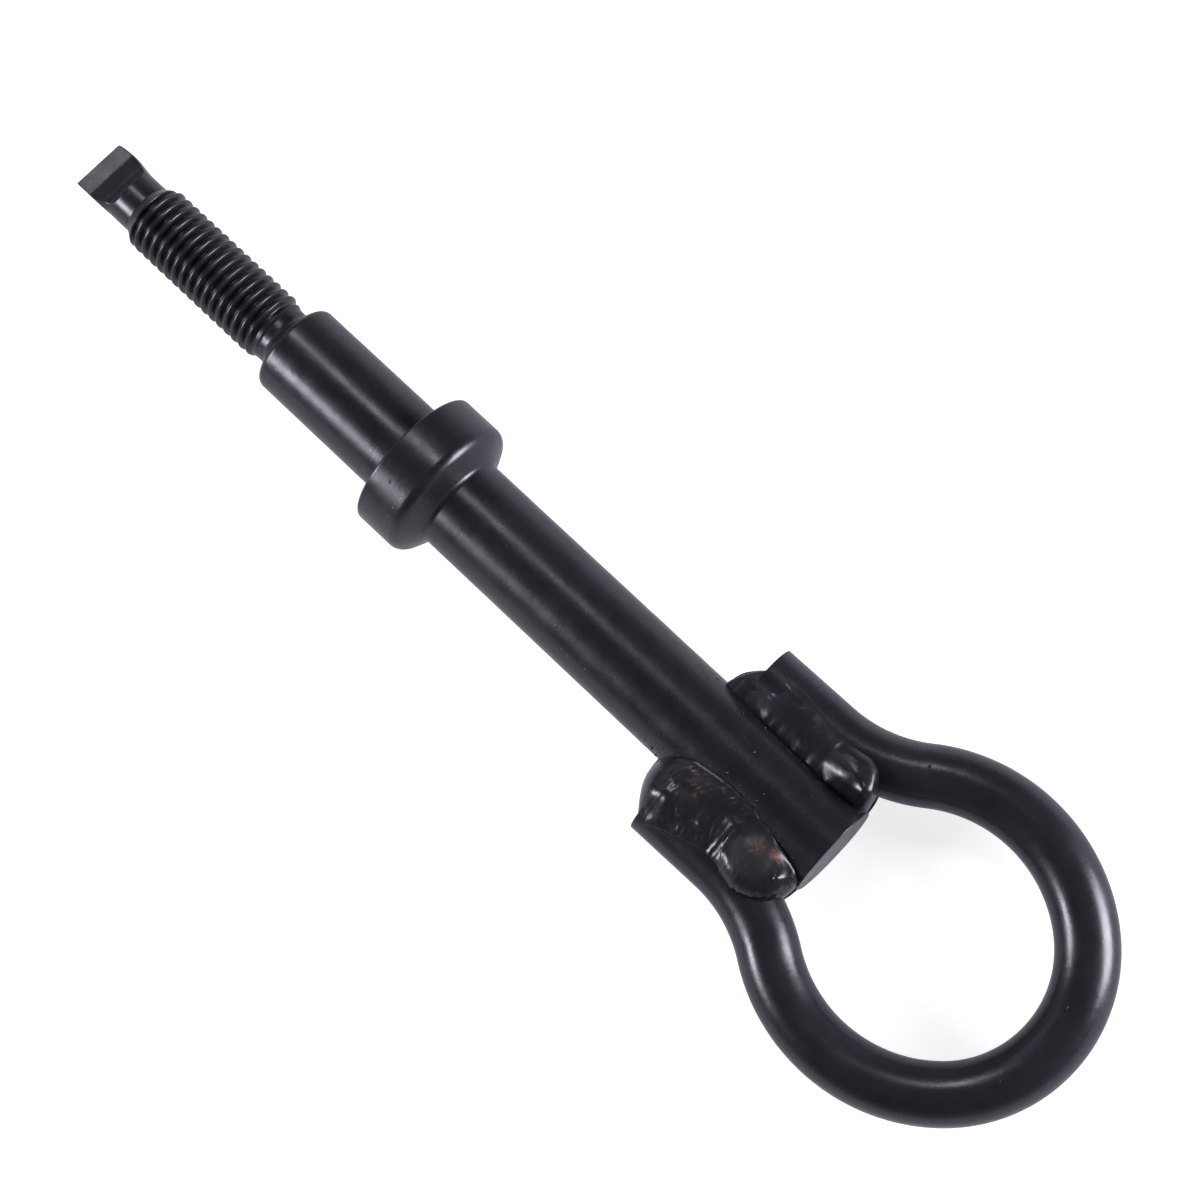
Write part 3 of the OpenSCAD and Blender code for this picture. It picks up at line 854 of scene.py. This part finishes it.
def build_weld(name, node, left, top, bead):
    """A bead laid in the valley between shank and leg, from its rounded start to its end drop."""
    rows, cols = 230, 60
    side = 1 if left else -1
    shift = Vector((bead.seed * 3.7, bead.seed * 1.9, 0))
    verts = []
    first_x, last_x = WELD_START_X / MM, WELD_END_X / MM
    for i in range(rows):
        run = i / (rows - 1)
        for j in range(cols):
            k = j / (cols - 1)
            # The start leans back round the bar's cut end, and the end is rounded in plan
            start = first_x + bead.start_lean * k**bead.start_bend
            end = last_x - bead.end_lean * k**3
            x = mix(start, end, run)
            leg = leg_shape(x * MM, side) / MM
            wander = 0.14 * noise.noise(Vector((x * 0.6, bead.seed * 5, 0)))
            in_y = min(along(x, bead.inner_edge) + wander, 7.95)
            uneven = bead.ragged * noise.noise(Vector((x * 1.5, bead.seed * 3, 4)))
            out_y = along(x, bead.outer_edge) - wander + uneven
            y = mix(in_y, out_y, k)
            in_z = math.sqrt(8.0**2 - in_y**2)
            out_z = math.sqrt(max((BAR_R / MM) ** 2 - (out_y - leg) ** 2, 0.5))
            base = mix(in_z, out_z, k)
            width = out_y - in_y
            toe = min(k, 1 - k) * width
            lens = (4 * k * (1 - k)) ** (bead.flank if k < 0.5 else 0.8)
            calm = float(smooth(toe / 1.8))
            lift = bead.crown(x, y) * lens
            drop = bead.drop(x, y)
            if drop is not None:
                foot = round_foot(toe, *(bead.inner_foot if k < 0.5 else bead.outer_foot))
                lift = smooth_max(lift, (drop - base) * foot, 0.2)
            place = Vector((x, y, 0)) + shift
            patchy = float(smooth(0.5 + 1.4 * noise.noise(place * 0.55)))
            arc_x = x + 3.4 * (1 - (2 * k - 1) ** 2) + 0.5 * noise.noise(place * 0.7)
            ripple = bead.ripple * math.sin(2 * math.pi * arc_x / bead.ripple_pitch) * patchy
            if drop is not None:
                ripple *= 0.25
            broad = (0.06 + 0.16 * bead.grain) * noise.noise(place * 0.35)
            fine = 0.04 * noise.noise(place * 1.1) + 0.010 * noise.noise(place * 3.0)
            lump = broad + bead.grain * fine
            edge = 0.0
            if k < 0.5:
                rim = math.exp(-(((toe - 0.5) / 0.3) ** 2))
                groove = math.exp(-(((toe - 1.3) / 0.45) ** 2))
                edge = bead.lip * (rim - 0.7 * groove)
            z = base + lift + calm * (ripple + lump) + edge
            # Both ends round down to the floor of the valley
            nose = min(1.0, run * (end - start) / (bead.nose * (1 - 0.4 * k)))
            tail = min(1.0, (1 - run) * (end - start) / bead.tail)
            z = mix(z * bead.front, z, (1 - (1 - nose) ** 2.2) ** (1 / 2.2))
            z = mix(z * 0.35, z, (1 - (1 - tail) ** 2.3) ** (1 / 2.3))
            verts.append((x * MM, y * MM, max(z * MM, WELD_FLOOR)))
        last = verts[-1]
        core = leg_shape(last[0], side)
        if last[0] < BAR_END_X:
            core = min(last[1] - 0.2 * MM, core)
        first = verts[-cols]
        verts += [(last[0], core, WELD_FLOOR), (first[0], SHANK_R / 2, WELD_FLOOR)]
    n = cols + 2
    if bead.front:
        # Under its blunt start the bead draws back to the floor of the valley
        under = []
        for t in (1.0, 0.8, 0.55, 0.25):
            back = 0.4 * MM * t**2
            for x, y, z in verts[:cols]:
                under.append((x + back, mix(y, verts[0][1], 0.06 * t**2), mix(z, WELD_FLOOR, t)))
            under += [(x + back, y, z) for x, y, z in verts[cols:n]]
        verts = under + verts
        rows += 4
    faces = grid_faces(rows, n)
    faces += [tuple(reversed(range(n))), tuple((rows - 1) * n + j for j in range(n))]
    verts = [(x, y * side, z if top else -z) for x, y, z in verts]
    if left == top:
        faces = [tuple(reversed(f)) for f in faces]
    mesh = mesh_from(name, [(verts, faces)])
    return finish_piece(mesh, name, bead_paint, [node])


# Weld spatter

def spatter_tree():
    """Small balls of spatter on given points, each of its own size, half sunk in the paint."""
    t = Tree("spatter")
    smallest = t.input("Smallest", "NodeSocketFloat", 0.00008)
    largest = t.input("Largest", "NodeSocketFloat", 0.00030)
    seed = t.input("Seed", "NodeSocketInt", 4)
    ball = t.node("GeometryNodeMeshIcoSphere", Radius=1.0, Subdivisions=3)
    chance = t.node("FunctionNodeRandomValue", Seed=seed)
    chance.data_type = "FLOAT"
    value = chance.outputs["Value"]
    share = t.math("POWER", value if value.enabled else chance.outputs[1], 2.0)
    size = t.math("ADD", smallest, t.math("MULTIPLY", share, t.math("SUBTRACT", largest, smallest)))
    placed = t.node("GeometryNodeInstanceOnPoints", Instance=ball.outputs["Mesh"], Scale=size)
    t.feed(placed.inputs["Points"], t.given.outputs["Geometry"])
    t.finish(placed.outputs[0], shank_paint)
    return t


# Places of the balls that the photo shows, in mm: on the shank, and by the right bead's end
SPATTER_SPOTS = (
    (61.6, -7.8), (59.5, -7.8), (60.6, -7.4), (60.3, -2.6),
    (64.5, -4.7), (58.1, -4.6), (71.1, -1.7), (73.0, -2.6),
    (72.4, -2.2), (76.5, -2.7), (78.8, -2.9), (82.2, -3.0),
    (70.5, 3.6), (66.6, 5.0), (66.7, 7.2), (68.6, 6.3),
)
END_SPATTER = ((90.9, -8.3, 5.0), (90.7, -9.9, 4.6), (91.0, -7.2, 5.2), (90.2, -10.8, 4.6))
RANDOM_BALLS_A_SIDE = 22


def build_spatter():
    rng = np.random.default_rng(11)
    spots = list(SPATTER_SPOTS)
    for right in (True, False):
        edge = RightTopBead.inner_edge if right else LeftTopBead.inner_edge
        for _ in range(RANDOM_BALLS_A_SIDE):
            x = rng.uniform(58, 89)
            y = along(max(x, 62.5), edge) - rng.exponential(0.9) - 0.15
            spots.append((x, -y if right else y))
    spots = [(x, max(-7.85, min(7.85, y))) for x, y in spots]
    points = [(x * MM, y * MM, math.sqrt(8.0**2 - y * y) * MM) for x, y in spots]
    points += [(x * MM, y * MM, z * MM) for x, y, z in END_SPATTER]
    mesh = bpy.data.meshes.new("spatter_points")
    mesh.from_pydata(points, [], [])
    source = bpy.data.objects.new("spatter_points", mesh)
    balls = baked(spatter_tree(), source, {}, "spatter")
    return finish_piece(balls, "spatter", shank_paint)


build_shank()
build_eye()
build_weld("bead_top_left", "weld_top_left", True, True, LeftTopBead())
build_weld("bead_top_right", "weld_top_right", False, True, RightTopBead())
build_weld("bead_under_left", "weld_under_left", True, False, UnderBead(3))
build_weld("bead_under_right", "weld_under_right", False, False, UnderBead(4))
build_spatter()


# Camera, floor and light

PHOTO_SIDE = 1200
FOCAL_PX = 2775
CAMERA_PLACE = Vector((131.75, 3.73, 424.26)) * MM
CAMERA_RIGHT = Vector((0.71466, 0.6815, -0.15755))
CAMERA_DOWN = Vector((0.66545, -0.73182, -0.14705))


def place_camera():
    data = bpy.data.cameras.new("photo_camera")
    data.sensor_width = 36
    data.lens = 36 * FOCAL_PX / PHOTO_SIDE
    camera = bpy.data.objects.new("photo_camera", data)
    bpy.context.scene.collection.objects.link(camera)
    right = CAMERA_RIGHT.normalized()
    up = (-CAMERA_DOWN - right * right.dot(-CAMERA_DOWN)).normalized()
    back = right.cross(up)
    rotation = Matrix((right, up, back)).transposed().to_4x4()
    camera.matrix_world = Matrix.Translation(CAMERA_PLACE) @ rotation
    data.clip_start = 0.01
    data.clip_end = 20
    bpy.context.scene.camera = camera


def rest_plane():
    """The plane that the lying part touches: under the collar and under the shank's cut end."""
    collar = Vector((RIM_LEN, 0, -COLLAR_R))
    end = Vector((SHANK_END_X, 0, -SHANK_R))
    along = (end - collar).normalized()
    return collar, along


def build_floor():
    origin, along = rest_plane()
    side = 2.5
    across = Vector((0, 1, 0))
    signs = ((-1, -1), (1, -1), (1, 1), (-1, 1))
    corners = [origin + along * side * a + across * side * b for a, b in signs]
    mesh = bpy.data.meshes.new("floor")
    mesh.from_pydata([tuple(c) for c in corners], [], [(0, 1, 2, 3)])
    floor = bpy.data.objects.new("floor", mesh)
    bpy.context.scene.collection.objects.link(floor)
    material = bpy.data.materials.new("pale_floor")
    material.use_nodes = True
    tree = material.node_tree
    tree.nodes.clear()
    out = tree.nodes.new("ShaderNodeOutputMaterial")
    path = tree.nodes.new("ShaderNodeLightPath")
    seen = tree.nodes.new("ShaderNodeMath")
    seen.operation = "MAXIMUM"
    tree.links.new(path.outputs["Is Camera Ray"], seen.inputs[0])
    tree.links.new(path.outputs["Is Transmission Ray"], seen.inputs[1])
    paint = tree.nodes.new("ShaderNodeBsdfDiffuse")
    paint.inputs["Color"].default_value = (0.6, 0.6, 0.6, 1)
    lift = tree.nodes.new("ShaderNodeEmission")
    lift.inputs["Strength"].default_value = 0.78
    shown = tree.nodes.new("ShaderNodeAddShader")
    tree.links.new(paint.outputs[0], shown.inputs[0])
    tree.links.new(lift.outputs[0], shown.inputs[1])
    pale = tree.nodes.new("ShaderNodeBsdfDiffuse")
    pale.inputs["Color"].default_value = (0.48, 0.48, 0.5, 1)
    haze = tree.nodes.new("ShaderNodeEmission")
    haze.inputs["Color"].default_value = (0.88, 0.89, 1, 1)
    haze.inputs["Strength"].default_value = 0.39
    mirrored = tree.nodes.new("ShaderNodeAddShader")
    tree.links.new(pale.outputs[0], mirrored.inputs[0])
    tree.links.new(haze.outputs[0], mirrored.inputs[1])
    choice = tree.nodes.new("ShaderNodeMixShader")
    tree.links.new(seen.outputs[0], choice.inputs[0])
    tree.links.new(mirrored.outputs[0], choice.inputs[1])
    tree.links.new(shown.outputs[0], choice.inputs[2])
    tree.links.new(choice.outputs[0], out.inputs["Surface"])
    mesh.materials.append(material)


def area_light(name, place, target, width, height, power, color=(1, 1, 1)):
    data = bpy.data.lights.new(name, "AREA")
    data.shape = "RECTANGLE"
    data.size = width
    data.size_y = height
    data.energy = power
    data.color = color
    lamp = bpy.data.objects.new(name, data)
    bpy.context.scene.collection.objects.link(lamp)
    lamp.location = place
    aim = Vector(target) - Vector(place)
    lamp.rotation_mode = "QUATERNION"
    # The light's own X, its width, stays along the shank
    back = -aim.normalized()
    side = Vector((1, 0, 0)) - back * back.x
    side.normalize()
    up = back.cross(side)
    rotation = Matrix((side, up, back)).transposed().to_4x4()
    lamp.matrix_world = Matrix.Translation(Vector(place)) @ rotation


def build_light():
    world = bpy.data.worlds.new("studio")
    world.use_nodes = True
    tree = world.node_tree
    tree.nodes.clear()
    out = tree.nodes.new("ShaderNodeOutputWorld")
    path = tree.nodes.new("ShaderNodeLightPath")
    seen = tree.nodes.new("ShaderNodeMath")
    seen.operation = "MAXIMUM"
    tree.links.new(path.outputs["Is Camera Ray"], seen.inputs[0])
    tree.links.new(path.outputs["Is Transmission Ray"], seen.inputs[1])
    room = tree.nodes.new("ShaderNodeBackground")
    room.inputs["Color"].default_value = (0.86, 0.87, 1.0, 1)
    # The room's walls are pale low down and dark overhead
    toward = tree.nodes.new("ShaderNodeTexCoord")
    part = tree.nodes.new("ShaderNodeSeparateXYZ")
    tree.links.new(toward.outputs["Generated"], part.inputs[0])
    tree.links.new(ramp(tree, part.outputs[2], 0.0, 0.40, 0.44, 0.10), room.inputs["Strength"])
    white = tree.nodes.new("ShaderNodeBackground")
    white.inputs["Strength"].default_value = 1.0
    choice = tree.nodes.new("ShaderNodeMixShader")
    tree.links.new(seen.outputs[0], choice.inputs[0])
    tree.links.new(room.outputs[0], choice.inputs[1])
    tree.links.new(white.outputs[0], choice.inputs[2])
    tree.links.new(choice.outputs[0], out.inputs["Surface"])
    bpy.context.scene.world = world
    middle = (0.06, 0, 0)
    cool = (0.94, 0.95, 1)
    area_light("key_softbox", (-0.43, -0.62, 0.42), middle, 0.34, 0.24, 6.2, cool)
    area_light("ring_softbox", (0.55, 0.47, 0.20), (0.10, 0, 0), 0.38, 0.34, 9.0, cool)
    area_light("top_light", (-0.40, 0.38, 0.9), middle, 0.36, 0.16, 1.9, cool)
    area_light("tip_panel", (-0.95, 0.05, 0.75), (-0.07, 0, 0), 0.5, 0.5, 0.55, (0.8, 0.85, 1))


place_camera()
build_floor()
build_light()
scene = bpy.context.scene
scene.view_settings.view_transform = "Standard"
